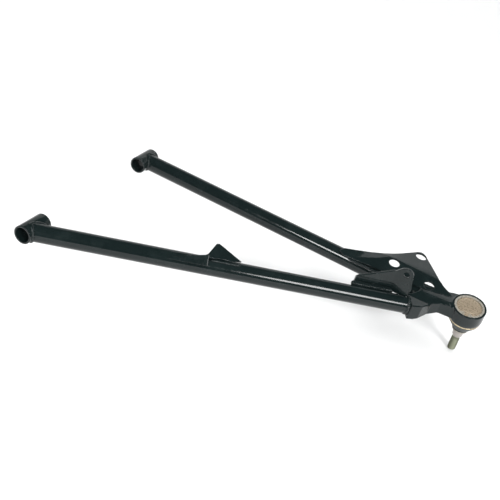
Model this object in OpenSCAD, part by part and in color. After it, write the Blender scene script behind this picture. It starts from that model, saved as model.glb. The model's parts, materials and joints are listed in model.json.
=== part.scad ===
// Suspension control arm: two steel tubes welded into an A, pivot tubes at the
// inboard ends, a forged knuckle with a ball joint at the outboard end.
// Frame: origin at the centre of the front pivot bore, +Y along the pivot axis
// towards the rear, +X outboard, +Z up and square to the plane of the two tubes.

/* [Arm] */
// Distance from the pivot axis out to the ball joint
arm_reach = 548.4; // [540:0.1:556]
// Angle between the front tube and the square to the pivot axis, in degrees
front_angle = 27.6; // [27:0.1:28.2]
// Set-back of the ball joint from the rear tube's axis
joint_set_back = 3.4; // [0:0.1:5]
// Distance between the centres of the two pivot tubes
pivot_spacing = 274; // [250:1:300]
// Set-back of the rear tube's axis from the centre of the rear pivot tube
rear_tube_offset = 3; // [0:0.5:6]
// Set-forward of the front tube's axis from the centre of the front pivot tube
front_tube_offset = 8.5; // [6:0.5:10]

/* [Tubes] */
// Outside diameter of the two arm tubes
tube_od = 25.4; // [24:0.1:27]
// Wall thickness of the two arm tubes
tube_wall = 2.1; // [1.5:0.1:3]
// Outside diameter of the pivot tubes
pivot_od = 25.8; // [24:0.1:28]
// Bore of the pivot tubes
pivot_bore = 20.6; // [16:0.1:21]
// Length of a pivot tube
pivot_len = 43; // [40:1:50]

/* [Ball joint] */
// Lean of the ball joint's axis towards the front, in degrees
lean_front = 12.4; // [8:0.1:15]
// Lean of the ball joint's axis towards the pivots, in degrees
lean_inboard = 4.1; // [2:0.1:8]
// Outside diameter of the knuckle's ring
boss_od = 49; // [47:0.5:54]
// Outside diameter of the ball joint's pressed body
body_od = 38.4; // [37:0.1:40]
// Diameter of the ball
ball_d = 27; // [26:0.1:28]
// Diameter of the stud's shank
shank_d = 15.6; // [14.5:0.1:16]
// Outside diameter of the stud's thread
thread_d = 12; // [11:0.1:12.5]

/* [Plates] */
// Thickness of the rear guard plate
guard_t = 2.5; // [2:0.1:4]
// Diameter of the three holes in the guard plate
guard_hole_d = 16; // [10:0.1:17]
// Thickness of the link bracket
bracket_t = 4; // [3:0.1:5]
// Diameter of the link bracket's bolt hole
bolt_hole_d = 8.4; // [8:0.1:11]
// Thickness of the front tab
tab_t = 2.5; // [2:0.1:3]

/* [Hidden] */
$fn = 64;
eps = 0.01;
rear_y = pivot_spacing + rear_tube_offset;
front_y = -front_tube_offset;
front_end = 529;
rear_end = 474;
// Levels along the ball joint's own axis, measured from the plane of the tubes
boss_low = -2.5;
body_low = -7.8;
boss_top = 20.2;
ball_level = 3;
seat_d = 32;
mouth_d = 27.6;
counterbore_d = 42.4;
flange_low = 14;
cap_low = 16.6;
cap_flange_t = 0.9;
ring_low = cap_low + cap_flange_t;
ring_t = 1.9;
shank_low = -41;
neck_low = -48;
stud_low = -73;
sheet_lift = tube_od / 2;
weld_r = 2.6;
gap = 0.05;

// ---- placing ----

// Local frame of the front tube: X along the tube, Y to its rear side
module along_front_tube() {
    translate([0, front_y, 0]) rotate([0, 0, front_angle]) children();
}

// Local frame of the rear tube: X along the tube
module along_rear_tube() {
    translate([0, rear_y, 0]) children();
}

// Local frame of the ball joint: Z up its axis, origin in the plane of the tubes
module at_ball_joint() {
    translate([arm_reach, rear_y + joint_set_back, 0]) rotate([lean_front, -lean_inboard, 0]) children();
}

// Frame of the guard plate's inner panel, whose underside rests on the rear tube
module on_guard_slope() {
    along_rear_tube() rotate([lean_front, 0, 0]) translate([0, 0, sheet_lift]) children();
}

// ---- shapes used more than once ----

// Round bar along +X from x0 to x1
module bar_x(d, x0, x1) {
    translate([x0, 0, 0]) rotate([0, 90, 0]) cylinder(d = d, h = x1 - x0);
}

// Round bar along Y, centred on the pivot axis at y
module bar_y(d, y, len) {
    translate([0, y + len / 2, 0]) rotate([90, 0, 0]) cylinder(d = d, h = len);
}

// Flat ring between two levels on the Z axis
module ring_z(d_out, d_in, z0, z1) {
    difference() {
        translate([0, 0, z0]) cylinder(d = d_out, h = z1 - z0);
        translate([0, 0, z0 - 1]) cylinder(d = d_in, h = z1 - z0 + 2);
    }
}

// Upright sheet in the local XZ plane, from an outline, y0 to y0 + t
module upright_sheet(outline, y0, t) {
    translate([0, y0 + t, 0]) rotate([90, 0, 0]) linear_extrude(t) polygon(outline);
}

// ---- pivots and tubes ----

module pivot_tube(y) {
    color("#20282a") difference() {
        bar_y(pivot_od, y, pivot_len);
        bar_y(pivot_bore, y, pivot_len + 2);
    }
}

module front_pivot_tube() {
    pivot_tube(0);
}

module rear_pivot_tube() {
    pivot_tube(pivot_spacing);
}

// Arm tube along local X, coped to the pivot tube at its inboard end
module arm_tube(end) {
    difference() {
        bar_x(tube_od, 0, end);
        bar_x(tube_od - 2 * tube_wall, -1, end + 1);
    }
}

module front_tube() {
    color("#20282a") difference() {
        along_front_tube() arm_tube(front_end);
        bar_y(pivot_od + 2 * gap, 0, 3 * pivot_len);
    }
}

module rear_tube() {
    color("#20282a") difference() {
        along_rear_tube() arm_tube(rear_end);
        bar_y(pivot_od + 2 * gap, pivot_spacing, 2 * pivot_len);
    }
}

// ---- knuckle ----

// Plan of the knuckle's block and neck, measured in the arm's frame
knuckle_plan = [
    [475.6, 223.8], [462.5, 248.8], [468, 254], [474.1, 264.4], [474.1, 289.2],
    [490, 289.4], [508, 292], [530, 300], [560, 288], [550, 266], [530, 261],
    [510, 258], [498, 249], [489, 233]
];

// Side outline of the same, X against Z
knuckle_side = [
    [450, -13.4], [470, -14.4], [484, -13.6], [499, -8], [511, -3.5], [562, -5],
    [562, 14], [530, 16.5], [505, 15.5], [480, 14], [450, 13.6]
];

module knuckle() {
    color("#20282a") difference() {
        union() {
            intersection() {
                translate([0, 0, -30]) linear_extrude(60) polygon(knuckle_plan);
                translate([0, 400, 0]) rotate([90, 0, 0]) linear_extrude(300) polygon(knuckle_side);
                along_front_tube() translate([front_end + gap, -100, -50]) cube([200, 200, 100]);
            }
            at_ball_joint() translate([0, 0, boss_low]) cylinder(d = boss_od, h = boss_top - boss_low);
        }
        at_ball_joint() {
            translate([0, 0, boss_low - 20]) cylinder(d = body_od, h = 60);
            translate([0, 0, flange_low]) cylinder(d = counterbore_d, h = 30);
            translate([0, 0, ring_low]) cylinder(d = counterbore_d + 2, h = ring_t + 0.2);
            translate([0, 0, boss_low - 20]) cylinder(d = boss_od, h = 20);
            translate([0, 0, boss_top]) cylinder(d = boss_od + 8, h = 20);
        }
        along_rear_tube() bar_x(tube_od + 2 * gap, rear_end - 30, rear_end + gap);
        on_guard_slope() translate([0, 0, -gap]) linear_extrude(20) polygon(guard_inner);
    }
}

// ---- guard plate ----

// Outline of the inner panel: X against distance up the slope from the rear tube
guard_inner = [
    [345, -6], [355, -11], [413, -6], [470, -3], [506, 4], [519, 8], [518, 13],
    [505, 20.5], [495, 30], [396, 30], [350, 3]
];
guard_fold = 30;
// Outline of the outer panel: X against distance out from the fold
guard_outer = [
    [396, -1], [495, -1], [489, 7], [465, 41], [461, 47.5], [456.5, 51.5], [451.5, 52.5],
    [446, 48.5], [438, 38], [428, 26], [416, 14.5]
];
guard_inner_holes = [[424.6, 21], [484, 9.5]];
guard_outer_hole = [454.4, 39.3];

module guard_plate() {
    color("#20282a") difference() {
        on_guard_slope() {
            difference() {
                linear_extrude(guard_t) polygon(guard_inner);
                for (p = guard_inner_holes) translate([p[0], p[1], -1]) cylinder(d = guard_hole_d, h = guard_t + 2);
            }
            translate([0, guard_fold, 0]) rotate([-lean_front, 0, 0]) difference() {
                linear_extrude(guard_t) polygon(guard_outer);
                translate([guard_outer_hole[0], guard_outer_hole[1], -1]) cylinder(d = guard_hole_d, h = guard_t + 2);
            }
        }
        along_rear_tube() bar_x(tube_od + 2 * gap, 300, rear_end + 60);
    }
}

// ---- link bracket ----

bracket_y = tube_od / 2 + 0.3;
// Side panel beside the front tube: distance along the tube against height
bracket_side = [[446, 1], [506, 1], [506, 24.5], [497, 44], [449, 24], [446, 21]];
// Ear, square to the pivot axis: X against height
ear = [[436, 10], [460, 10], [465, 24], [460, 44], [450, 54], [442, 51.5], [433.5, 42]];
ear_front_y = 234.4;
ear_hole = [450.1, 44.2];
ear_r = 10;

module link_bracket() {
    color("#20282a") difference() {
        union() {
            along_front_tube() upright_sheet(bracket_side, bracket_y, bracket_t);
            upright_sheet(ear, ear_front_y, bracket_t);
            translate([ear_hole[0], ear_front_y + bracket_t, ear_hole[1]]) rotate([90, 0, 0])
                cylinder(r = ear_r, h = bracket_t);
        }
        translate([ear_hole[0], ear_front_y + 20, ear_hole[1]]) rotate([90, 0, 0])
            cylinder(d = bolt_hole_d, h = 60);
        along_front_tube() bar_x(tube_od + 2 * gap, 300, 600);
    }
}

// ---- front tab ----

// Flange leaning on the tube's front side, and a wing out over its top
tab_lean = 52;
tab_flange = [[181, -1], [236, -1], [236, 14.7], [219, 11], [203, 7.2], [187, 2.4]];
tab_wing = [[228, -4], [240, -4], [282, 4.5], [251, 22.5], [247.5, 24], [244, 22.5], [234, 1]];
wing_lift = 17;
wing_slope = 16;
wing_dip = 7;

module front_tab() {
    color("#20282a") difference() {
        along_front_tube() {
            rotate([tab_lean, 0, 0]) translate([0, 0, sheet_lift]) linear_extrude(tab_t) polygon(tab_flange);
            translate([236, 0, wing_lift]) rotate([wing_slope, wing_dip, 0]) translate([-236, 0, 0])
                linear_extrude(tab_t) polygon(tab_wing);
            upright_sheet([[234, 8], [282, 8], [282, 13.5], [236, 19]], -1, tab_t);
        }
        along_front_tube() bar_x(tube_od + 2 * gap, 100, 400);
    }
}

// ---- welds ----

module pivot_weld(y) {
    difference() {
        intersection() {
            children(0);
            bar_y(pivot_od + 2 * weld_r, y, 3 * pivot_len);
        }
        bar_y(pivot_od + 2 * gap, y, 4 * pivot_len);
        children(1);
    }
}

module front_pivot_weld() {
    color("#2b3436") pivot_weld(0) {
        along_front_tube() bar_x(tube_od + 2 * weld_r, 0, 60);
        along_front_tube() bar_x(tube_od + 2 * gap, -60, 90);
    }
}

module rear_pivot_weld() {
    color("#2b3436") pivot_weld(pivot_spacing) {
        along_rear_tube() bar_x(tube_od + 2 * weld_r, 0, 60);
        along_rear_tube() bar_x(tube_od + 2 * gap, -60, 90);
    }
}

// Ring of weld round the end of a tube, in the tube's frame
module butt_weld(x, len) {
    translate([x, 0, 0]) rotate([0, 90, 0]) rotate_extrude()
        polygon([[tube_od / 2 + gap, -len], [tube_od / 2 + weld_r * 0.6, -len * 0.35],
                 [tube_od / 2 + weld_r * 0.6, 0], [tube_od / 2 + gap, 0]]);
}

module front_knuckle_weld() {
    color("#2b3436") along_front_tube() butt_weld(front_end, 5);
}

module rear_knuckle_weld() {
    color("#2b3436") difference() {
        along_rear_tube() butt_weld(rear_end, 5);
        translate([440, rear_y - 40, -40]) cube([60, 34, 80]);
        on_guard_slope() translate([430, -20, -1]) cube([60, 60, 20]);
    }
}

// Straight bead along local X
module bead(x0, x1, r) {
    bar_x(2 * r, x0, x1);
}

module guard_plate_weld() {
    color("#2b3436") difference() {
        along_rear_tube() rotate([lean_front, 0, 0]) translate([0, -8.5, sheet_lift - 1]) bead(362, 440, 2.4);
        along_rear_tube() bar_x(tube_od + 2 * gap, 300, rear_end + 60);
        on_guard_slope() translate([0, 0, -gap]) linear_extrude(guard_t + 2 * gap) polygon(guard_inner);
    }
}

module link_bracket_weld() {
    color("#2b3436") difference() {
        along_front_tube() translate([0, bracket_y - 2.2, 11.6]) bead(441, 503, 4.2);
        along_front_tube() bar_x(tube_od + 2 * gap, 300, 600);
        along_front_tube() translate([400, bracket_y - gap, -20]) cube([120, 40, 60]);
        upright_sheet(ear, ear_front_y - gap, 40);
    }
}

module front_tab_weld() {
    color("#2b3436") difference() {
        along_front_tube() translate([0, -3, 12.5]) bead(240, 282, 2);
        along_front_tube() bar_x(tube_od + 2 * gap, 100, 400);
        along_front_tube() translate([200, -1 - gap, -20]) cube([120, 40, 60]);
    }
}

// ---- ball joint ----

module joint_body() {
    color("#9a9588") at_ball_joint() difference() {
        union() {
            translate([0, 0, body_low]) cylinder(d = body_od - 2 * gap, h = flange_low - body_low + eps);
            translate([0, 0, flange_low]) cylinder(d = counterbore_d - 0.4, h = cap_low - flange_low - gap);
        }
        translate([0, 0, body_low - 1]) cylinder(d1 = mouth_d + 4, d2 = mouth_d - 1, h = ball_level - 6 - body_low + 1);
        translate([0, 0, ball_level - 6 - eps]) cylinder(d = seat_d, h = 30);
    }
}

module joint_cap() {
    color("#a89a82") at_ball_joint() rotate_extrude()
        polygon([[0, cap_low], [20.8, cap_low], [20.8, ring_low - gap], [14.4, ring_low - gap],
                 [13.2, ring_low + 1.8], [7, ring_low + 2.6], [0, ring_low + 2.8]]);
}

// Open ring with two drilled ears beside its gap
module snap_ring() {
    color("#b9b4a6") at_ball_joint() translate([0, 0, ring_low + gap]) difference() {
        union() {
            ring_z(counterbore_d + 1.6, 37, 0, ring_t);
            for (side = [-1, 1]) rotate([0, 0, -90 + side * 17]) translate([17.6, 0, 0]) cylinder(d = 5.6, h = ring_t);
        }
        rotate([0, 0, -90]) translate([12, -3.2, -1]) cube([14, 6.4, 5]);
        for (side = [-1, 1]) rotate([0, 0, -90 + side * 17]) translate([17.6, 0, -1]) cylinder(d = 2.4, h = 5);
    }
}

module preload_spring() {
    color("#8d9296") at_ball_joint() ring_z(26, 16, cap_low - 1.9, cap_low - gap);
}

module socket_seat() {
    color("#d9d6c8") at_ball_joint() difference() {
        translate([0, 0, ball_level - 6]) cylinder(d = seat_d - 2 * gap, h = 6);
        translate([0, 0, ball_level]) sphere(d = ball_d + 2 * gap);
        translate([0, 0, ball_level - 7]) cylinder(d = 24.4, h = 8);
    }
}

module pressure_seat() {
    color("#e6e2d0") at_ball_joint() difference() {
        translate([0, 0, ball_level + 0.4]) cylinder(d = seat_d - 2 * gap, h = cap_low - 2.2 - ball_level - 0.4);
        translate([0, 0, ball_level]) sphere(d = ball_d + 2 * gap);
    }
}

module ball_stud() {
    color("#b4aca6") at_ball_joint() {
        difference() {
            translate([0, 0, ball_level]) sphere(d = ball_d);
            translate([0, 0, ball_level + ball_d / 2 - 2]) cylinder(d = ball_d, h = 10);
        }
        rotate_extrude() polygon([
            [0, stud_low], [thread_d / 2 - 1, stud_low], [thread_d / 2, stud_low + 1], [thread_d / 2, neck_low],
            [thread_d / 2 - 0.8, neck_low + 0.6], [thread_d / 2 - 0.8, neck_low + 2.4],
            [shank_d / 2, shank_low], [shank_d / 2, -14], [6.9, -9], [6.9, ball_level - 5], [0, ball_level - 5]
        ]);
    }
}

// Rubber bellows, open at both ends
module dust_boot() {
    color("#303234") at_ball_joint() rotate_extrude() polygon([
        [19.4, boss_low - 1.7], [22.8, boss_low - 1.7], [23, -6], [21.4, -9], [18.6, -11.6], [17.7, -14], [16, -18.5],
        [13.2, -22.5], [11.4, -25], [11.4, -28], [8.1, -28], [8.1, -25.6], [10.6, -22.6], [14.2, -17.4],
        [16, -13.6], [17.2, -11.2], [19.4, -9.4]
    ]);
}

module boot_upper_ring() {
    color("#c8b48c") at_ball_joint() ring_z(47.6, 38.6, boss_low - 1.6, boss_low - gap);
}

module boot_lower_ring() {
    color("#55595b") at_ball_joint() ring_z(24.4, 22.9, -27.4, -25.8);
}

front_pivot_tube();
rear_pivot_tube();
front_tube();
rear_tube();
knuckle();
guard_plate();
link_bracket();
front_tab();
front_pivot_weld();
rear_pivot_weld();
front_knuckle_weld();
rear_knuckle_weld();
guard_plate_weld();
link_bracket_weld();
front_tab_weld();
joint_body();
joint_cap();
snap_ring();
preload_spring();
socket_seat();
pressure_seat();
ball_stud();
dust_boot();
boot_upper_ring();
boot_lower_ring();
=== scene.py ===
"""Welded suspension control arm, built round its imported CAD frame.

Everything is in metres and in the frame's own axes: the origin is the centre of the
front pivot bore, +Y runs along the pivot axis to the rear, +X points outboard to the
ball joint and +Z is square to the plane of the two tubes.
"""
import json

import bmesh
import bpy
import numpy as np
from bpy.props import FloatProperty, FloatVectorProperty, PointerProperty
from mathutils import Matrix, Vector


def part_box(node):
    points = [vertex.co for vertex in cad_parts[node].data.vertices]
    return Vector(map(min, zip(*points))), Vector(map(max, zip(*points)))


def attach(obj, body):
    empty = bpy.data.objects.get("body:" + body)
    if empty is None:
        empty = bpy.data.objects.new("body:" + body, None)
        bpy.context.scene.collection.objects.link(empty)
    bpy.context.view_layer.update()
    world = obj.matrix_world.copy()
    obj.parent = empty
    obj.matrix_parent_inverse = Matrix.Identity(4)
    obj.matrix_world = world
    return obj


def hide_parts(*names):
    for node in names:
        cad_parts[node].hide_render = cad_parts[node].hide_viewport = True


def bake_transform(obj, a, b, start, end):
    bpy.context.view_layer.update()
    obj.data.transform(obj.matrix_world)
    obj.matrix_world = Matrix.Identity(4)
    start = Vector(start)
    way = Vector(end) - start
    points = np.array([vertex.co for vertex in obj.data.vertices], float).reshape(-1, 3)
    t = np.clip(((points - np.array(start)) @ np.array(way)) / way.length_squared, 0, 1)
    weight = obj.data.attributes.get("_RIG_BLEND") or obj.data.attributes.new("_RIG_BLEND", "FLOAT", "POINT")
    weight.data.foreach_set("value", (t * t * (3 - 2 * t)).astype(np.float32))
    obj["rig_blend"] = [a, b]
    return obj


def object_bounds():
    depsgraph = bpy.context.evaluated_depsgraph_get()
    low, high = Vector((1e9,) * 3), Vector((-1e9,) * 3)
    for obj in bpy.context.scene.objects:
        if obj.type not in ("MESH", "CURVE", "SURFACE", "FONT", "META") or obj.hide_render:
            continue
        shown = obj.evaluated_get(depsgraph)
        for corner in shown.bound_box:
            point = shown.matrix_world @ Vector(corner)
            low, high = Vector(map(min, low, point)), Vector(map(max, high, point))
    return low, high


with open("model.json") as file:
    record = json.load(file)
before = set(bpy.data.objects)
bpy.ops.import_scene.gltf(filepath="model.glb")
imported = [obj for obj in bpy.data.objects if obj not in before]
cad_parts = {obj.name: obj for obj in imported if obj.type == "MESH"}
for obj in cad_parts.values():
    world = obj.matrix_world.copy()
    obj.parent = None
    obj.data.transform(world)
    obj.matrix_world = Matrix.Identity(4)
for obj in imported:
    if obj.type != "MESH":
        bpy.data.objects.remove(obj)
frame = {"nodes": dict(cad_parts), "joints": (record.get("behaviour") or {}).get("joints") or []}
CAD_BOX = [list(corner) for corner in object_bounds()]

bl_info = {
    "name": "Welded Control Arm",
    "version": (1, 0, 0),
    "blender": (4, 5, 0),
    "location": "View3D > Sidebar > Control Arm",
    "description": "Builds the painted, welded and machined pieces of a suspension control arm",
    "category": "Add Mesh",
}

MM = 0.001
JOINTS = {joint["name"]: joint for joint in frame["joints"]}
MATERIALS = {}


# ---- places ----

def unit(vector):
    """The vector over its own length, row by row."""
    vector = np.asarray(vector, float)
    return vector / np.linalg.norm(vector, axis=-1, keepdims=True)


def local_axes(origin, x, z):
    """A local frame: its origin, and a matrix whose rows are its X, Y and Z directions."""
    z = unit(z)
    y = unit(np.cross(z, x))
    return np.asarray(origin, float), np.stack([np.cross(y, z), y, z])


def place(points, axes):
    """Local points taken to the frame: origin + x X + y Y + z Z."""
    return axes[0] + np.asarray(points, float) @ axes[1]


def ramp(value, low, high):
    """A value's share of the way from low to high, held between 0 and 1."""
    return np.clip((value - low) / (high - low), 0, 1)


def box_middle(node):
    """Centre of a CAD node's box."""
    low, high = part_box(node)
    return (np.array(low) + np.array(high)) / 2


def ball_axes():
    """Local frame of the ball joint: origin at the ball's centre, Z up the joint's axis."""
    swivel = JOINTS["joint_swivel"]
    return local_axes(swivel["pos_m"], JOINTS["joint_tilt"]["axis"], swivel["axis"])


def pivot_axes(end):
    """Local frame of a pivot tube: Z along its bore, X outboard."""
    return local_axes(box_middle(end + "_pivot_tube"), (1, 0, 0), (0, 1, 0))


def tube_axes(end, sizes):
    """Local frame of an arm tube: Z along the tube, X to its rear side, Y up."""
    if end == "rear":
        return local_axes((0, sizes.rear_axis, 0), (0, 1, 0), (1, 0, 0))
    lean = sizes.front_angle
    along = (np.cos(lean), np.sin(lean), 0)
    return local_axes((0, sizes.front_axis, 0), (-along[1], along[0], 0), along)


# ---- surfaces ----

def grid_quads(rows, cols, wrap_rows, wrap_cols):
    """Quads of a rows x cols grid of points: (i, j), (i, j+1), (i+1, j+1), (i+1, j)."""
    i = np.arange(rows if wrap_rows else rows - 1)[:, None]
    j = np.arange(cols if wrap_cols else cols - 1)[None, :]
    i2, j2 = (i + 1) % rows, (j + 1) % cols
    corners = (i * cols + j, i * cols + j2, i2 * cols + j2, i2 * cols + j)
    return np.stack(np.broadcast_arrays(*corners), -1).reshape(-1, 4)


def outward(points, quads):
    """Quads turned to face out: the signed volume, a sum of corner products, comes out positive."""
    a, b, c, d = (points[quads[:, k]] for k in range(4))
    volume = np.einsum("ij,ij->i", a, np.cross(b, c) + np.cross(c, d)).sum()
    return quads if volume > 0 else quads[:, ::-1]


def new_piece(name, grid, material, body, wrap_rows=True, wrap_cols=True, attributes=None):
    """A closed piece from a grid of points, with its poles merged, riding on a body.

    attributes maps a name to one value per point, for materials that follow the surface.
    """
    rows, cols = grid.shape[:2]
    points = grid.reshape(-1, 3)
    quads = outward(points, grid_quads(rows, cols, wrap_rows, wrap_cols))
    mesh = bpy.data.meshes.new(name)
    mesh.from_pydata(points.tolist(), [], quads.tolist())
    for key, values in (attributes or {}).items():
        layer = mesh.attributes.new(key, "FLOAT", "POINT")
        layer.data.foreach_set("value", np.ravel(values).astype(np.float32))
    merged = bmesh.new()
    merged.from_mesh(mesh)
    bmesh.ops.remove_doubles(merged, verts=merged.verts, dist=1e-6)
    bmesh.ops.dissolve_degenerate(merged, edges=merged.edges, dist=1e-7)
    merged.to_mesh(mesh)
    merged.free()
    return finish_piece(name, mesh, material, body)


def finish_piece(name, mesh, material, body, crease=40):
    """Smooth shading, broken where faces meet at more than the crease angle, then the body."""
    mesh.shade_smooth()
    mesh.set_sharp_from_angle(angle=np.radians(crease))
    mesh.materials.clear()
    mesh.materials.append(material)
    piece = bpy.data.objects.new(name, mesh)
    bpy.context.scene.collection.objects.link(piece)
    if body:
        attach(piece, body)
    return piece


def rounded(corners, radius, steps=4, closed=True):
    """A profile whose corners are parabolas: each corner is cut back by radius, or by under
    half of its side, and (1-t)^2 A + 2t(1-t) P + t^2 B runs between the cuts."""
    corners = np.asarray(corners, float)
    count = len(corners)
    t = np.linspace(0, 1, steps + 1)[:, None]
    out = []
    for k, point in enumerate(corners):
        if not closed and k in (0, count - 1):
            out.append(point[None])
            continue
        sides = corners[(k - 1) % count] - point, corners[(k + 1) % count] - point
        cuts = [point + s * min(radius / np.linalg.norm(s), 0.45) for s in sides]
        out.append((1 - t) ** 2 * cuts[0] + 2 * t * (1 - t) * point + t ** 2 * cuts[1])
    return np.concatenate(out)


def turned(profile, axes, around=96):
    """A profile of (radius, level) turned about the local Z: (r cos a, r sin a, level)."""
    angle = np.linspace(0, 2 * np.pi, around, endpoint=False)[:, None]
    radius, level = np.asarray(profile, float).T
    flat = np.broadcast_to(level, (around, len(level)))
    return place(np.stack([radius * np.cos(angle), radius * np.sin(angle), flat], -1), axes)


def turned_piece(name, profile, axes, material, body="arm", closed=True, around=96):
    """A turned piece that knows its own radius, so that its finish can follow the lathe."""
    grid = turned(profile, axes, around)
    radii = np.broadcast_to(np.asarray(profile)[:, 0], grid.shape[:2])
    return new_piece(name, grid, material, body, True, closed, {"turn_radius": radii})


def bead_surface(path, outward_dir, width, height, pitch, depth, wobble, closed, around=20):
    """A weld bead along a path: at path point P with sideways S and outward N,
    P + width g cos(a) S + height g sin(a) N, where g = 1 - depth + depth |sin(pi u)|^0.6.

    u counts the ripples along the path and lags at the bead's sides, which gives each
    ripple its crescent. A slow wobble varies the bead, and an open bead tapers at its ends.
    """
    count = len(path)
    steps = np.linalg.norm(np.diff(path, axis=0), axis=1)
    arc = np.concatenate([[0], np.cumsum(steps)])
    tangent = np.gradient(path, axis=0)
    if closed:
        tangent = np.roll(path, -1, 0) - np.roll(path, 1, 0)
        arc = arc * (round(arc[-1] / pitch) * pitch / (arc[-1] + steps[-1]))
    side = unit(np.cross(unit(tangent), outward_dir))
    angle = np.linspace(0, 2 * np.pi, around, endpoint=False)[None, :]
    along = (arc / pitch)[:, None]
    turns = along + 0.32 * np.cos(angle) ** 2
    swell = 1 + wobble * (np.sin(1.7 * along + 0.9) + np.sin(0.61 * along * np.ones_like(angle)))
    if closed:
        swell = 1 + wobble * np.sin(6 * np.pi * along / along[-1]) * np.ones_like(angle)
    girth = swell * (1 - depth + depth * np.abs(np.sin(np.pi * turns)) ** 0.6)
    if not closed:
        ease = np.linspace(-1, 1, count)[:, None]
        girth = girth * np.sqrt(np.clip(1 - np.abs(ease) ** 14, 0, 1))
    across = (width * np.cos(angle) * girth)[..., None] * side[:, None, :]
    return path[:, None, :] + across + (height * np.sin(angle) * girth)[..., None] * outward_dir[:, None, :]


def bead_piece(name, node, path, outward_dir, width, height, look, closed=False):
    """One weld bead in place of its plain CAD ring or bar. look is (pitch, depth, wobble)."""
    grid = bead_surface(path, outward_dir, width, height, *look, closed)
    piece = new_piece(name, grid, MATERIALS["weld"], "arm", closed, True)
    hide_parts(node)
    return piece


def relaxed(points, edges, passes):
    """Points moved to and fro towards their neighbours' mean, which rounds edges and keeps size:
    p + k (mean - p), with k = 0.55 and then k = -0.57, once each in every pass."""
    degree = np.bincount(edges.ravel(), minlength=len(points))[:, None]
    for _ in range(passes):
        for pull in (0.55, -0.57):
            total = np.stack([
                np.bincount(edges[:, 0], points[edges[:, 1], k], len(points))
                + np.bincount(edges[:, 1], points[edges[:, 0], k], len(points))
                for k in range(3)
            ], 1)
            points = points + pull * (total / degree - points)
    return points


def softened_piece(name, node, material, voxel, passes, bend=None):
    """A CAD node with its edges broken: a merged copy, remeshed at voxel and then relaxed.

    bend, if given, takes and returns the points, to curve a sharp fold before the relaxing.
    """
    mesh = frame["nodes"][node].data.copy()
    merged = bmesh.new()
    merged.from_mesh(mesh)
    bmesh.ops.remove_doubles(merged, verts=merged.verts, dist=1e-6)
    merged.to_mesh(mesh)
    merged.free()
    carrier = bpy.data.objects.new(name + "_carrier", mesh)
    bpy.context.scene.collection.objects.link(carrier)
    remesh = carrier.modifiers.new("skin", "REMESH")
    remesh.mode = "VOXEL"
    remesh.voxel_size = voxel
    shown = carrier.evaluated_get(bpy.context.evaluated_depsgraph_get())
    skin = bpy.data.meshes.new_from_object(shown)
    bpy.data.objects.remove(carrier)
    points = np.empty(len(skin.vertices) * 3)
    skin.vertices.foreach_get("co", points)
    points = points.reshape(-1, 3)
    edges = np.empty(len(skin.edges) * 2, np.int64)
    skin.edges.foreach_get("vertices", edges)
    if bend:
        points = bend(points)
    points = relaxed(points, edges.reshape(-1, 2), passes)
    skin.vertices.foreach_set("co", points.ravel())
    skin.update()
    skin.name = name
    for attribute in [a.name for a in skin.attributes if not a.is_required and not a.is_internal]:
        skin.attributes.remove(skin.attributes[attribute])
    piece = finish_piece(name, skin, material, "arm", 60)
    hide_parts(node)
    return piece


# ---- materials ----

class Shader:
    """One node material: a Principled shader, with object coordinates to drive its patterns."""

    def __init__(self, name, color, metallic=0.0, roughness=0.5, **constants):
        self.material = bpy.data.materials.new(name)
        self.material.use_nodes = True
        self.tree = self.material.node_tree
        self.surface = self.tree.nodes["Principled BSDF"]
        self.surface.inputs["Base Color"].default_value = (*color, 1)
        self.surface.inputs["Metallic"].default_value = metallic
        self.surface.inputs["Roughness"].default_value = roughness
        for socket, value in constants.items():
            self.surface.inputs[socket.replace("_", " ")].default_value = value
        self.place = self.add("ShaderNodeTexCoord").outputs["Object"]
        self.bumps = None
        self.material.diffuse_color = (*color, 1)

    def add(self, kind, **inputs):
        """A node of a kind, with sockets set to values or linked to other sockets."""
        made = self.tree.nodes.new(kind)
        for socket, value in inputs.items():
            self.put(made.inputs[socket.replace("_", " ")], value)
        return made

    def put(self, socket, value):
        """Links a socket or sets its value."""
        if isinstance(value, bpy.types.NodeSocket):
            self.tree.links.new(value, socket)
        else:
            socket.default_value = value

    def noise(self, scale, detail=3.0, vector=None, roughness=0.5):
        """Noise from 0 to 1, at scale features per metre."""
        made = self.add("ShaderNodeTexNoise", Vector=vector or self.place, Scale=scale, Detail=detail,
                        Roughness=roughness)
        return made.outputs["Fac"]

    def span(self, value, low, high, to_low=0.0, to_high=1.0):
        """A value mapped smoothly from low..high to to_low..to_high."""
        made = self.add("ShaderNodeMapRange", Value=value, From_Min=low, From_Max=high,
                        To_Min=to_low, To_Max=to_high)
        made.interpolation_type = "SMOOTHSTEP"
        return made.outputs["Result"]

    def math(self, operation, first, second=0.0):
        """One Math node."""
        made = self.tree.nodes.new("ShaderNodeMath")
        made.operation = operation
        self.put(made.inputs[0], first)
        self.put(made.inputs[1], second)
        return made.outputs[0]

    def attribute(self, name):
        """A value that the mesh carries per point."""
        made = self.add("ShaderNodeAttribute")
        made.attribute_name = name
        return made.outputs["Fac"]

    def tint(self, mask, color):
        """Base colour moved towards color where mask is 1."""
        made = self.tree.nodes.new("ShaderNodeMix")
        made.data_type = "RGBA"
        base = self.surface.inputs["Base Color"]
        factor, under, over = made.inputs[0], made.inputs[6], made.inputs[7]
        self.put(factor, mask)
        self.put(under, base.links[0].from_socket if base.links else tuple(base.default_value))
        self.put(over, (*color, 1))
        self.tree.links.new(made.outputs[2], base)

    def rough(self, value):
        """Roughness from a pattern."""
        self.put(self.surface.inputs["Roughness"], value)

    def bump(self, height, metres, strength=1.0):
        """A bump of a real height, laid over the bumps made before it."""
        made = self.add("ShaderNodeBump", Height=height, Distance=metres, Strength=strength)
        if self.bumps:
            self.put(made.inputs["Normal"], self.bumps)
        self.bumps = made.outputs["Normal"]
        self.put(self.surface.inputs["Normal"], self.bumps)
        return self


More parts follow.
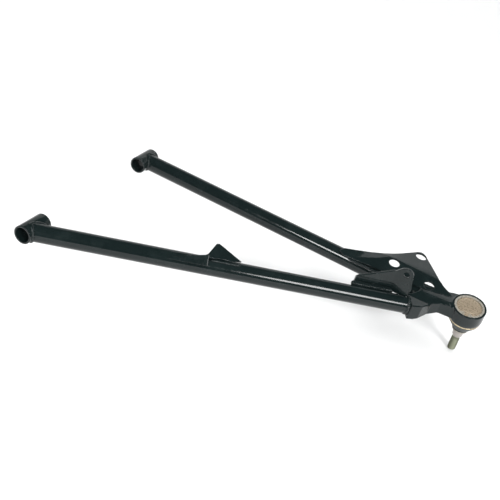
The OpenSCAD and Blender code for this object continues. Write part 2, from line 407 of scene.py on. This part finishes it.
def paint_shader(name, finish, bead=False):
    """Glossy black enamel: orange peel, faint cloudiness and a few dust nibs. Over a weld
    bead it is a little rougher and shows the grain of the bead."""
    shader = Shader(name, finish.paint, roughness=0.12, Specular_IOR_Level=0.33)
    cloud = shader.noise(38.0, 4.0)
    shader.tint(shader.span(cloud, 0.45, 0.75, 0.0, 0.55), finish.paint_haze)
    nibs = shader.span(shader.noise(1500.0, 1.0), 0.74, 0.82)
    rest = shader.span(shader.noise(210.0, 3.0), 0.35, 0.7, 0.09, 0.16)
    shader.rough(shader.math("MAXIMUM", rest, shader.math("MULTIPLY", nibs, 0.3)))
    shader.bump(shader.noise(330.0, 2.0), 0.00003, finish.peel)
    shader.bump(nibs, 0.00002, 0.5)
    if bead:
        shader.bump(shader.noise(900.0, 4.0, roughness=0.65), 0.00016, 0.8)
        shader.rough(shader.span(shader.noise(700.0, 3.0), 0.3, 0.7, 0.12, 0.3))
    return shader.material


def metal_shader(name, color, stain, roughness, grooves=0.0):
    """Worked metal: a stained base colour, a roughness that varies and, on turned pieces,
    lathe grooves that follow the radius the mesh carries, with painted shade laid in rings along them."""
    plated = 0.55
    shader = Shader(name, color, metallic=plated, roughness=roughness)
    cloud = shader.noise(110.0, 4.0)
    shader.tint(shader.span(cloud, 0.35, 0.72, 0.0, 0.16), stain)
    shader.rough(shader.span(shader.noise(420.0, 4.0), 0.3, 0.7, roughness - 0.07, roughness + 0.09))
    shader.bump(shader.noise(1800.0, 2.0), 0.000006, 0.3)
    if grooves:
        rings = shader.add("ShaderNodeCombineXYZ", X=shader.attribute("turn_radius")).outputs[0]
        cut = shader.noise(grooves, 3.0, rings, 0.6)
        shader.bump(cut, 0.00001, 0.5)
        # Painted shade: the grooves are tinted towards the stain colour in rings, standing in for the shading of
        # the turned face.
        shader.tint(shader.span(cut, 0.4, 0.66, 0.0, 0.25), stain)
    return shader


def stud_shader(finish):
    """Ground steel shank, with dull yellow-green plating where the mesh is marked as thread."""
    shader = metal_shader("stud_ground_steel", finish.stud, finish.stud_stain, 0.3)
    thread = shader.attribute("thread")
    shader.tint(thread, finish.thread)
    shader.rough(shader.span(thread, 0.0, 1.0, 0.28, 0.5))
    shader.bump(shader.noise(1400.0, 3.0), 0.00004, 0.4)
    return shader.material


def rubber_shader(finish):
    """Moulded rubber: matt, with a pale bloom in patches and a fine pitted skin."""
    shader = Shader("boot_moulded_rubber", finish.rubber, roughness=0.5, Specular_IOR_Level=0.42)
    shader.tint(shader.span(shader.noise(120.0, 5.0), 0.42, 0.75, 0.0, 0.6), finish.rubber_bloom)
    shader.rough(shader.span(shader.noise(260.0, 4.0), 0.3, 0.7, 0.36, 0.6))
    return shader.bump(shader.noise(2200.0, 3.0), 0.00004, 0.6).material


def plastic_shader(finish):
    """Natural acetal: waxy and even, with a moulded grain."""
    shader = Shader("seat_acetal", finish.acetal, roughness=0.4, Subsurface_Weight=0.1)
    shader.tint(shader.span(shader.noise(140.0), 0.4, 0.7, 0.0, 0.4), finish.acetal_shade)
    return shader.bump(shader.noise(1600.0, 2.0), 0.00002, 0.5).material


def make_materials(finish):
    """Every finish of the arm, by the name the operators use."""
    steel, brass, dark = finish.steel, finish.brass, finish.metal_stain
    MATERIALS.update(
        paint=paint_shader("black_enamel", finish),
        weld=paint_shader("black_enamel_on_weld", finish, bead=True),
        body=metal_shader("body_zinc", finish.zinc, dark, 0.36).material,
        # The cap's stain colour also paints shade into its lathe rings.
        cap=metal_shader("cap_turned_zinc", finish.cap, finish.cap_stain_and_shade, 0.3, 1500.0).material,
        ring=metal_shader("ring_spring_steel", steel, dark, 0.3).material,
        brass=metal_shader("boot_ring_yellow_zinc", brass, dark, 0.3).material,
        stud=stud_shader(finish),
        rubber=rubber_shader(finish),
        acetal=plastic_shader(finish),
    )


# ---- sizes and colours that a user would change ----

def length(name, description, millimetres):
    """A length property with its default in millimetres."""
    return FloatProperty(name=name, description=description, default=millimetres * MM, unit="LENGTH", precision=5)


def color(name, description, red, green, blue):
    """A colour property in linear light."""
    return FloatVectorProperty(name=name, description=description, default=(red, green, blue),
                               subtype="COLOR", min=0, max=1)


class ArmSizes(bpy.types.PropertyGroup):
    """Sizes of the arm's round stock, welds and ball joint."""

    tube_od: length("Tube diameter", "Outside diameter of the two arm tubes", 25.4)
    tube_wall: length("Tube wall", "Wall thickness of the two arm tubes", 2.1)
    pivot_od: length("Pivot diameter", "Outside diameter of the pivot tubes", 25.8)
    pivot_bore: length("Pivot bore", "Bore of the pivot tubes", 20.6)
    pivot_length: length("Pivot length", "Length of a pivot tube", 43)
    front_axis: length("Front tube set-forward", "Where the front tube's axis crosses the pivot axis", -8.5)
    rear_axis: length("Rear tube place", "Where the rear tube's axis crosses the pivot axis", 277)
    front_end: length("Front tube end", "Distance along the front tube's axis to its outboard end", 529)
    rear_end: length("Rear tube end", "Distance along the rear tube's axis to its outboard end", 474)
    front_angle: FloatProperty(
        name="Front tube angle", description="Angle of the front tube to the rear one",
        default=np.radians(27.6), subtype="ANGLE")
    plate_angle: FloatProperty(
        name="Plate slope", description="Slope of the guard plate's inner panel",
        default=np.radians(12.4), subtype="ANGLE")
    bead: length("Bead radius", "Radius of the weld round a pivot", 2.3)
    ripple: length("Ripple pitch", "Spacing of the ripples in a weld", 2.1)
    ball: length("Ball diameter", "Diameter of the stud's ball", 27)
    shank: length("Shank diameter", "Diameter of the stud's plain shank", 15.6)
    thread: length("Thread diameter", "Outside diameter of the stud's thread", 12)
    thread_pitch: length("Thread pitch", "Pitch of the stud's thread", 1.25)


class ArmFinish(bpy.types.PropertyGroup):
    """Colours of the arm's finishes."""

    paint: color("Paint", "Black enamel", 0.0055, 0.0098, 0.0100)
    paint_haze: color("Paint haze", "Enamel where it is slightly dusty", 0.011, 0.017, 0.0172)
    peel: FloatProperty(name="Orange peel", description="Strength of the enamel's texture", default=0.30,
                        min=0, max=1, subtype="FACTOR")
    zinc: color("Zinc", "Zinc plate on the ball joint's body", 0.42, 0.40, 0.36)
    cap: color("Cap", "Yellow zinc on the turned cap", 0.40, 0.325, 0.235)
    # Painted shade: this colour is the cap's stain and also darkens its lathe rings.
    cap_stain_and_shade: color("Cap stain", "Darker grooves of the cap", 0.30, 0.235, 0.16)
    metal_stain: color("Metal stain", "Oxide on plated steel", 0.22, 0.20, 0.17)
    steel: color("Spring steel", "Plated rings and the spring", 0.46, 0.43, 0.37)
    brass: color("Yellow zinc", "Ring over the boot's mouth", 0.62, 0.51, 0.33)
    stud: color("Stud", "Ground steel of the shank", 0.36, 0.33, 0.31)
    stud_stain: color("Stud stain", "Hand marks on the shank", 0.25, 0.225, 0.205)
    thread: color("Thread", "Dull plating on the thread", 0.17, 0.18, 0.125)
    rubber: color("Rubber", "Boot rubber", 0.024, 0.030, 0.031)
    rubber_bloom: color("Rubber bloom", "Paler bloom on the rubber", 0.044, 0.052, 0.053)
    acetal: color("Acetal", "Ball seats", 0.78, 0.75, 0.66)
    acetal_shade: color("Acetal shade", "Ball seats where worn", 0.62, 0.57, 0.46)


class ArmStudio(bpy.types.PropertyGroup):
    """Floor, light and camera."""

    floor: color("Floor", "Seamless paper", 0.82, 0.82, 0.82)
    overhead: FloatProperty(name="Overhead", description="Power of the overhead light", default=230,
                            unit="POWER")
    softbox: FloatProperty(name="Softboxes", description="Power of the right softbox; the left has 0.8 of it",
                           default=28, unit="POWER")
    lens: FloatProperty(name="Lens", description="Focal length on a 36 mm sensor", default=53.54, unit="CAMERA")


# ---- pieces ----

class ARM_OT_pivot_tubes(bpy.types.Operator):
    """Two short tubes for the pivot bushes, with chamfered ends"""

    bl_idname = "arm.pivot_tubes"
    bl_label = "Pivot Tubes"

    def execute(self, context):
        sizes = context.scene.arm_sizes
        outer, inner, half = sizes.pivot_od / 2, sizes.pivot_bore / 2, sizes.pivot_length / 2
        profile = rounded([(outer, -half), (outer, half), (inner, half), (inner, -half)], 0.7 * MM, 5)
        for end in ("front", "rear"):
            piece = turned_piece(end + "_pivot_sleeve", profile, pivot_axes(end), MATERIALS["paint"],
                                 around=128)
            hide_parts(end + "_pivot_tube")
        return {"FINISHED"}


def cope(angle, radius, end, sizes):
    """Distance along a tube at which its side at an angle and radius meets the pivot tube:
    (sqrt(R^2 - (r sin a)^2) + r cos a sin lean) / cos lean."""
    lean = sizes.front_angle if end == "front" else 0.0
    reach = sizes.pivot_od / 2 + 0.05 * MM
    rise = np.sqrt(reach ** 2 - (radius * np.sin(angle)) ** 2)
    return (rise + radius * np.cos(angle) * np.sin(lean)) / np.cos(lean)


class ARM_OT_arm_tubes(bpy.types.Operator):
    """The two arm tubes, each coped to its pivot tube and open inside"""

    bl_idname = "arm.arm_tubes"
    bl_label = "Arm Tubes"

    def execute(self, context):
        sizes = context.scene.arm_sizes
        for end, stop in (("front", sizes.front_end), ("rear", sizes.rear_end)):
            piece = new_piece(end + "_arm_tube", self.surface(end, stop, sizes), MATERIALS["paint"],
                              "arm")
            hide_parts(end + "_tube")
        return {"FINISHED"}

    def surface(self, end, stop, sizes, around=128, stations=30):
        """Wall section carried round the tube: outer side from the cope out, inner side back.

        A point at angle a, radius r and share t lies at (r cos a, r sin a, cope (1 - t) + stop t).
        """
        outer, inner, cut = sizes.tube_od / 2, sizes.tube_od / 2 - sizes.tube_wall, 0.4 * MM
        share = np.linspace(0, 1, stations)
        radius = np.concatenate([np.full(stations, outer), [outer - cut], np.full(stations, inner)])
        share = np.concatenate([share * (1 - cut / stop), [1], share[::-1]])
        angle = np.linspace(0, 2 * np.pi, around, endpoint=False)[:, None]
        level = cope(angle, radius, end, sizes) * (1 - share) + stop * share
        local = np.stack([radius * np.cos(angle), radius * np.sin(angle), level], -1)
        return place(local, tube_axes(end, sizes))


class ARM_OT_knuckle(bpy.types.Operator):
    """The forged knuckle that joins both tubes and holds the ball joint"""

    bl_idname = "arm.knuckle"
    bl_label = "Knuckle"

    crown_radius = 110 * MM
    crown_reach = 30 * MM
    crown_top = 13 * MM
    ring_radius = 24.5 * MM
    ring_fade = 6 * MM
    taper_start = 1 * MM
    taper_end = 5.5 * MM
    taper_width = 0.8 * MM
    taper_skin = 3 * MM

    def execute(self, context):
        sizes = context.scene.arm_sizes
        joint = ball_axes()

        def forged(points):
            """Rounds the block's top as a forging's draft does: lower by d^2 / 2R at distance d
            in front of the rear tube's axis, fading out at the ball joint's ring. Then draws
            the sides in below the ball's centre, by a width that grows downwards."""
            local = (points - joint[0]) @ joint[1].T
            radius = np.hypot(local[:, 0], local[:, 1])
            away = ramp(radius, self.ring_radius, self.ring_radius + self.ring_fade)
            ahead = np.clip(sizes.rear_axis - points[:, 1], 0, self.crown_reach)
            top = ramp(points[:, 2], 0, self.crown_top)
            moved = points.copy()
            moved[:, 2] -= ahead ** 2 / (2 * self.crown_radius) * top * away
            taper = ramp(-local[:, 2], self.taper_start, self.taper_end)
            skin = ramp(radius, self.ring_radius - self.taper_skin, self.ring_radius)
            inward = self.taper_width * taper * skin
            moved -= inward[:, None] * unit(local * [1, 1, 0]) @ joint[1]
            return moved

        softened_piece("knuckle_forging", "knuckle", MATERIALS["paint"], 0.8 * MM, 40, forged)
        return {"FINISHED"}


class ARM_OT_guard_plate(bpy.types.Operator):
    """The pressed plate with three holes that lies on the rear tube"""

    bl_idname = "arm.guard_plate"
    bl_label = "Guard Plate"

    fold = 30 * MM
    tight = 2.5 * MM
    wide = 15 * MM
    widening = 430 * MM, 480 * MM
    rim_start = np.array([376, 271]) * MM
    rim_end = np.array([424, 306]) * MM
    rim_drop = 0.2
    rim_eases_in = 352 * MM, 387 * MM
    rim_eases_out = 432 * MM, 402 * MM

    def execute(self, context):
        sizes = context.scene.arm_sizes

        def pressed(points):
            """Lowers the sharp fold by slope (w - d)^2 / 4w, at distance d from it, which is
            the parabola between the two panels. Its half-width w grows towards the tip. Then
            rolls the rim down, by a share of the distance out from the line where it starts."""
            slope = sizes.plate_angle
            rise = (points[:, 1] - sizes.rear_axis) * np.cos(slope) + points[:, 2] * np.sin(slope)
            half = self.tight + (self.wide - self.tight) * ramp(points[:, 0], *self.widening)
            near = np.clip(half - np.abs(rise - self.fold), 0, None)
            moved = points.copy()
            moved[:, 2] -= np.tan(slope) * near ** 2 / (4 * half)
            along = unit(self.rim_end - self.rim_start)
            out = (points[:, :2] - self.rim_start) @ np.array([-along[1], along[0]])
            share = ramp(points[:, 0], *self.rim_eases_in) * ramp(points[:, 0], *self.rim_eases_out)
            eased = np.clip(out + self.tight, 0, None) ** 2 / (4 * self.tight)
            moved[:, 2] -= self.rim_drop * share * np.where(out > self.tight, out, eased)
            return moved

        softened_piece("guard_pressing", "guard_plate", MATERIALS["paint"], 0.7 * MM, 5, pressed)
        return {"FINISHED"}


class ARM_OT_link_bracket(bpy.types.Operator):
    """The upright bracket beside the front tube, with a drilled ear"""

    bl_idname = "arm.link_bracket"
    bl_label = "Link Bracket"

    def execute(self, context):
        softened_piece("link_bracket_pressing", "link_bracket", MATERIALS["paint"], 0.6 * MM, 6)
        return {"FINISHED"}


class ARM_OT_front_tab(bpy.types.Operator):
    """The small folded tab on top of the front tube"""

    bl_idname = "arm.front_tab"
    bl_label = "Front Tab"

    def execute(self, context):
        softened_piece("front_tab_pressing", "front_tab", MATERIALS["paint"], 0.5 * MM, 5)
        return {"FINISHED"}


class ARM_OT_weld_beads(bpy.types.Operator):
    """The seven rippled weld beads"""

    bl_idname = "arm.weld_beads"
    bl_label = "Weld Beads"

    rings_per_ripple = 9

    def execute(self, context):
        sizes = context.scene.arm_sizes
        even = (sizes.ripple, 0.16, 0.03)
        lumpy = (sizes.ripple * 1.35, 0.30, 0.07)
        for end in ("front", "rear"):
            self.cope_bead(end, sizes, even)
        self.ring_bead("front", sizes.front_end, (-180, 180), sizes, lumpy)
        self.ring_bead("rear", sizes.rear_end, (-118, 76), sizes, even)
        front, rear = tube_axes("front", sizes), tube_axes("rear", sizes)
        slope = sizes.plate_angle
        across, lift = -10.2 * MM, sizes.tube_od / 2 - 1.4 * MM
        at_plate = (across * np.cos(slope) - lift * np.sin(slope),
                    across * np.sin(slope) + lift * np.cos(slope))
        self.straight_bead("plate_bead", "guard_plate_weld", rear, at_plate, (-0.7, 0.7),
                           (0.362, 0.440), 2.3 * MM, even)
        self.straight_bead("bracket_bead", "link_bracket_weld", front, (9.8 * MM, 12.2 * MM), (-0.4, 0.92),
                           (0.441, 0.503), 4.4 * MM, lumpy)
        self.straight_bead("tab_bead", "front_tab_weld", front, (-3 * MM, 12.5 * MM), (-0.7, 0.7),
                           (0.240, 0.281), 1.9 * MM, even)
        return {"FINISHED"}

    def cope_bead(self, end, sizes, look, count=360):
        """Bead along the saddle where a tube meets its pivot, facing between their normals."""
        angle = np.linspace(0, 2 * np.pi, count, endpoint=False)
        radius = sizes.tube_od / 2
        level = cope(angle, radius, end, sizes)
        axes = tube_axes(end, sizes)
        ring = np.stack([np.cos(angle), np.sin(angle), 0 * angle], 1)
        path = place(ring * radius + np.stack([0 * angle, 0 * angle, level], 1), axes)
        from_tube = ring @ axes[1]
        from_pivot = unit(path * np.array([1, 0, 1]))
        facing = unit(from_tube + from_pivot)
        bead_piece(end + "_pivot_bead", end + "_pivot_weld", path, facing,
                   sizes.bead * 1.15, sizes.bead, look, closed=True)

    def ring_bead(self, end, stop, arc, sizes, look, count=340):
        """Bead round a tube's outboard end, over an arc in degrees from the tube's rear side."""
        closed = arc[1] - arc[0] >= 360
        angle = np.radians(np.linspace(*arc, count, endpoint=not closed))
        ring = np.stack([np.cos(angle), np.sin(angle), 0 * angle], 1)
        axes = tube_axes(end, sizes)
        path = place(ring * (sizes.tube_od / 2 - 0.2 * MM) + [0, 0, stop - 2.4 * MM], axes)
        bead_piece(end + "_knuckle_bead", end + "_knuckle_weld", path, ring @ axes[1],
                   2.9 * MM, 1.8 * MM, look, closed)

    def straight_bead(self, name, node, axes, place_across, facing, span, radius, look):
        """Bead along a tube, at a place across it, facing a direction across it."""
        count = int((span[1] - span[0]) / (look[0] / self.rings_per_ripple))
        level = np.linspace(*span, count)
        path = place(np.stack([0 * level + place_across[0], 0 * level + place_across[1], level], 1), axes)
        out = unit(np.array([[*facing, 0.0]])) @ axes[1]
        bead_piece(name, node, path, np.repeat(out, count, 0), radius, radius, look)


def refinish(node, material):
    """Gives a CAD node that stays a better material."""
    slots = frame["nodes"][node].data.materials
    slots.clear()
    slots.append(material)


class ARM_OT_joint_housing(bpy.types.Operator):
    """The ball joint's pressed body, its turned cap and the snap ring that holds them"""

    bl_idname = "arm.joint_housing"
    bl_label = "Joint Housing"

    def execute(self, context):
        refinish("joint_body", MATERIALS["body"])
        axes = ball_axes()
        cap = np.array([(0, 13.6), (20.8, 13.6), (20.8, 14.42), (18.3, 14.45), (18.1, 15.2), (13.4, 16.35),
                        (12.6, 17.0), (6, 17.25), (0, 17.3)])
        profile = rounded(cap * MM, 0.5 * MM, 4, closed=False)
        profile = np.concatenate([subdivided(profile[:-1], 3), profile[-1:]])
        piece = turned_piece("cap_turning", profile, axes, MATERIALS["cap"], closed=False, around=160)
        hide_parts("joint_cap")
        softened_piece("snap_ring_stamping", "snap_ring", MATERIALS["ring"], 0.24 * MM, 3)
        return {"FINISHED"}


def subdivided(profile, parts):
    """A profile with every step cut into equal parts."""
    t = np.arange(parts)[:, None] / parts
    steps = profile[:-1, None] * (1 - t) + profile[1:, None] * t
    return np.concatenate([steps.reshape(-1, profile.shape[1]), profile[-1:]])


class ARM_OT_joint_inside(bpy.types.Operator):
    """The two ball seats and the wave spring, sealed inside the joint"""

    bl_idname = "arm.joint_inside"
    bl_label = "Joint Inside"

    def execute(self, context):
        for node in ("socket_seat", "pressure_seat"):
            refinish(node, MATERIALS["acetal"])
        section = rounded(np.array([(8.2, -0.3), (12.8, -0.3), (12.8, 0.3), (8.2, 0.3)]) * MM, 0.15 * MM, 3)
        grid = self.wave(section, 12.6 * MM, 0.5 * MM)
        spring = new_piece("wave_washer", grid, MATERIALS["ring"], "arm")
        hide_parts("preload_spring")
        return {"FINISHED"}

    def wave(self, section, level, swing, around=144):
        """A flat ring that rises and falls four times: level + swing cos(4a)."""
        angle = np.linspace(0, 2 * np.pi, around, endpoint=False)[:, None]
        radius, height = section.T
        lift = level + height + swing * np.cos(4 * angle)
        return place(np.stack([radius * np.cos(angle), radius * np.sin(angle), lift], -1), ball_axes())


class ARM_OT_ball_stud(bpy.types.Operator):
    """The ball stud: a flatted ball, a necked shank and a rolled thread"""

    bl_idname = "arm.ball_stud"
    bl_label = "Ball Stud"

    around = 72
    thread_rings = 220

    def execute(self, context):
        sizes = context.scene.arm_sizes
        ball, neck, shank, thread = sizes.ball / 2, 6.9 * MM, sizes.shank / 2, sizes.thread / 2
        low, root, start = -76 * MM, thread - 0.75 * MM, -51.2 * MM
        flat = np.sqrt(ball ** 2 - (ball - 2 * MM) ** 2)
        turn = np.linspace(np.arcsin(flat / ball), np.pi - np.arcsin(neck / ball), 40)
        round_part = np.stack([ball * np.sin(turn), ball * np.cos(turn)], 1)
        shaft = rounded([
            (neck, round_part[-1, 1]), (neck, -13.5 * MM), (shank, -17 * MM), (shank, -43.6 * MM),
            (shank - 0.8 * MM, -44.6 * MM), (root, -48.4 * MM), (root, start + 0.3 * MM),
        ], 0.8 * MM, 4, closed=False)
        threaded = np.stack([np.full(self.thread_rings, thread - 0.35 * MM),
                             np.linspace(start, low + 0.8 * MM, self.thread_rings)], 1)
        tip = np.array([(thread - 0.9 * MM, low), (thread - 3 * MM, low), (0, low)])
        profile = np.concatenate([[(0, ball - 2 * MM)], round_part, shaft[1:], threaded, tip])
        axes = ball_axes()
        grid = turned(profile, axes, self.around)
        angle = np.linspace(0, 2 * np.pi, self.around, endpoint=False)[:, None]
        level = profile[None, :, 1]
        fade = ramp(level, start, start - 1.5 * MM) * ramp(level, low, low + 1.6 * MM)
        fade = fade * (profile[None, :, 0] > root)
        ridge = 0.36 * MM * self.saw(level / sizes.thread_pitch - angle / (2 * np.pi)) * fade
        across = np.stack([np.cos(angle), np.sin(angle), 0 * angle], -1) @ axes[1]
        grid = grid + ridge[..., None] * across
        marked = np.broadcast_to(ramp(level, -46 * MM, -47.5 * MM), ridge.shape)
        piece = new_piece("stud_turning", grid, MATERIALS["stud"], "stud", True, False,
                          {"thread": marked, "turn_radius": np.broadcast_to(profile[:, 0], ridge.shape)})
        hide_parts("ball_stud")
        return {"FINISHED"}

    def saw(self, turns):
        """A rounded triangle wave from -1 to 1, one ridge to a turn."""
        return np.arcsin(0.96 * np.sin(2 * np.pi * turns)) / np.arcsin(0.96)


class ARM_OT_dust_boot(bpy.types.Operator):
    """The rubber boot, which bends with the stud, and the rings at its two ends"""

    bl_idname = "arm.dust_boot"
    bl_label = "Dust Boot"

    def execute(self, context):
        axes = ball_axes()
        wall = np.array([
            (19.5, -7.25), (22.6, -7.25), (23.1, -9), (21.6, -12), (18.9, -14.6), (18, -16.8), (17, -19.4),
            (14.4, -22.4), (12.9, -24.6), (11.9, -26), (11.7, -27.4), (11.3, -28.2), (11.2, -29.2),
            (11.9, -30.2), (11.6, -31), (8.6, -31), (8.25, -30), (8.3, -28.4), (10.2, -25.6), (14, -20.6),
            (16, -17), (17.3, -14.2), (19.5, -12.4)]) * MM
        profile = subdivided(rounded(wall, 1.1 * MM, 3), 2)
        boot = turned_piece("boot_bellows", profile, axes, MATERIALS["rubber"], None, around=96)
        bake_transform(boot, "seat", "collar", start=place((0, 0, -13 * MM), axes),
                 end=place((0, 0, -26.5 * MM), axes))
        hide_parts("dust_boot")
        upper = rounded(np.array([(19.4, -7.1), (23.7, -7.1), (23.7, -5.6), (19.4, -5.6)]) * MM, 0.45 * MM, 4)
        ring = turned_piece("boot_clamp_ring", upper, axes, MATERIALS["brass"], around=128)
        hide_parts("boot_upper_ring")
        turn = np.linspace(0, 2 * np.pi, 16, endpoint=False)
        wire = np.stack([11.75 + 0.42 * np.cos(turn), -29.3 + 0.7 * np.sin(turn)], 1) * MM
        garter = turned_piece("boot_garter_ring", wire, axes, MATERIALS["ring"], "collar",
                              around=128)
        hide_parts("boot_lower_ring")
        return {"FINISHED"}


# ---- stage ----

def posed(spot, right, back):
    """A matrix that puts a lamp or camera at a spot: its columns are right, up and back."""
    turn = np.stack([right, np.cross(back, right), back], 1)
    return Matrix.Translation(spot) @ Matrix(turn.tolist()).to_4x4()


class ARM_OT_stage(bpy.types.Operator):
    """The pale floor with its curved back, three soft lights and the camera"""

    bl_idname = "arm.stage"
    bl_label = "Stage"

    middle = np.array([0.35, 0.12, 0.0])
    camera_spot = 0.478168, -0.675419, 0.583547
    camera_right = np.array([0.87052, 0.41914, 0.25790])
    camera_back = np.array([0.22537, -0.80540, 0.54821])

    def execute(self, context):
        studio = context.scene.arm_studio
        self.floor(studio)
        under = self.middle + (-0.1, 0.5, 0)
        self.light("overhead", under + (0, 0, 3.4), under, 6.0, studio.overhead, glossy=False)
        self.light("softbox_right", (1.62, -0.946, 1.118), self.middle, 0.72, studio.softbox, round_shape=True)
        self.light("softbox_left", (0.124, -1.62, 1.05), self.middle, 0.58, studio.softbox * 0.8, round_shape=True)
        self.camera(studio)
        self.world()
        context.scene.view_settings.view_transform = "Standard"
        return {"FINISHED"}

    def floor(self, studio):
        """A sheet that lies flat and curves up behind, square to the camera: its section is a
        line, a quarter circle and a line, carried sideways."""
        level = CAD_BOX[0][2] - 0.3 * MM
        reach, back, bend, top = 9.0, 3.0, 0.8, 2.6
        turn = np.linspace(0, np.pi / 2, 16)
        section = np.concatenate([
            [(-reach, level)],
            np.stack([back - bend + bend * np.sin(turn), level + bend * (1 - np.cos(turn))], 1),
            [(back, level + top)],
        ])
        sideways = np.linspace(-reach, reach, 10)[:, None]
        away = unit(self.camera_back * [-1, -1, 0])
        across = np.array([away[1], -away[0], 0.0])
        points = (section[:, 0][None, :, None] * away + sideways[..., None] * across
                  + section[:, 1][None, :, None] * np.array([0, 0, 1.0]))
        mesh = bpy.data.meshes.new("studio_floor")
        rows, cols = points.shape[:2]
        mesh.from_pydata(points.reshape(-1, 3).tolist(), [], grid_quads(rows, cols, False, False).tolist())
        mesh.shade_smooth()
        shader = Shader("seamless_paper", studio.floor, roughness=0.9, Specular_IOR_Level=0.1)
        shader.bump(shader.noise(60.0), 0.0003, 0.1)
        mesh.materials.append(shader.material)
        floor = bpy.data.objects.new("studio_floor", mesh)
        bpy.context.scene.collection.objects.link(floor)

    def light(self, name, spot, target, size, power, glossy=True, round_shape=False):
        """An area light at a spot, turned to a target."""
        data = bpy.data.lights.new(name, "AREA")
        data.shape = "DISK" if round_shape else "SQUARE"
        data.size = size
        data.energy = power
        lamp = bpy.data.objects.new(name, data)
        back = unit(np.array(spot) - np.array(target))
        right = unit(np.cross((0, 0.001, 1), back))
        lamp.matrix_world = posed(spot, right, back)
        lamp.visible_glossy = glossy
        bpy.context.scene.collection.objects.link(lamp)

    def camera(self, studio):
        """The camera, at its spot."""
        data = bpy.data.cameras.new("camera")
        data.lens = studio.lens
        data.sensor_width = 36
        data.clip_start = 0.01
        camera = bpy.data.objects.new("camera", data)
        camera.matrix_world = posed(self.camera_spot, self.camera_right, self.camera_back)
        bpy.context.scene.collection.objects.link(camera)
        bpy.context.scene.camera = camera

    def world(self):
        """Dim surroundings in the gloss, and a pale wall where the camera sees past the floor."""
        world = bpy.data.worlds.new("studio_air")
        world.use_nodes = True
        tree = world.node_tree
        tree.nodes.clear()
        seen = tree.nodes.new("ShaderNodeLightPath").outputs["Is Camera Ray"]
        dim, pale = tree.nodes.new("ShaderNodeBackground"), tree.nodes.new("ShaderNodeBackground")
        dim.inputs["Color"].default_value = (0.045, 0.055, 0.055, 1)
        pale.inputs["Color"].default_value = (0.95, 0.95, 0.95, 1)
        mix = tree.nodes.new("ShaderNodeMixShader")
        out = tree.nodes.new("ShaderNodeOutputWorld")
        tree.links.new(seen, mix.inputs[0])
        tree.links.new(dim.outputs[0], mix.inputs[1])
        tree.links.new(pale.outputs[0], mix.inputs[2])
        tree.links.new(mix.outputs[0], out.inputs[0])
        bpy.context.scene.world = world


class ARM_PT_builder(bpy.types.Panel):
    """Lists the arm's builders"""

    bl_label = "Control Arm"
    bl_idname = "ARM_PT_builder"
    bl_space_type = "VIEW_3D"
    bl_region_type = "UI"
    bl_category = "Control Arm"

    def draw(self, context):
        for operator in BUILD_ORDER:
            self.layout.operator(operator.bl_idname)
        for group in (context.scene.arm_sizes, context.scene.arm_finish, context.scene.arm_studio):
            box = self.layout.box()
            for name in group.bl_rna.properties.keys():
                if name not in ("rna_type", "name"):
                    box.prop(group, name)


BUILD_ORDER = (
    ARM_OT_pivot_tubes, ARM_OT_arm_tubes, ARM_OT_knuckle, ARM_OT_guard_plate, ARM_OT_link_bracket,
    ARM_OT_front_tab, ARM_OT_weld_beads, ARM_OT_joint_housing, ARM_OT_joint_inside, ARM_OT_ball_stud,
    ARM_OT_dust_boot, ARM_OT_stage,
)
GROUPS = {"arm_sizes": ArmSizes, "arm_finish": ArmFinish, "arm_studio": ArmStudio}


def register():
    """Adds the classes, and a settings group to every scene."""
    for cls in (*GROUPS.values(), *BUILD_ORDER, ARM_PT_builder):
        bpy.utils.register_class(cls)
    for name, group in GROUPS.items():
        setattr(bpy.types.Scene, name, PointerProperty(type=group))


def unregister():
    """Takes the settings and the classes away again."""
    for name in GROUPS:
        delattr(bpy.types.Scene, name)
    for cls in (ARM_PT_builder, *reversed(BUILD_ORDER), *reversed(GROUPS.values())):
        bpy.utils.unregister_class(cls)


def main():
    """Builds the whole arm, piece by piece."""
    register()
    make_materials(bpy.context.scene.arm_finish)
    for operator in BUILD_ORDER:
        group, action = operator.bl_idname.split(".")
        getattr(getattr(bpy.ops, group), action)()


if __name__ == "__main__":
    main()
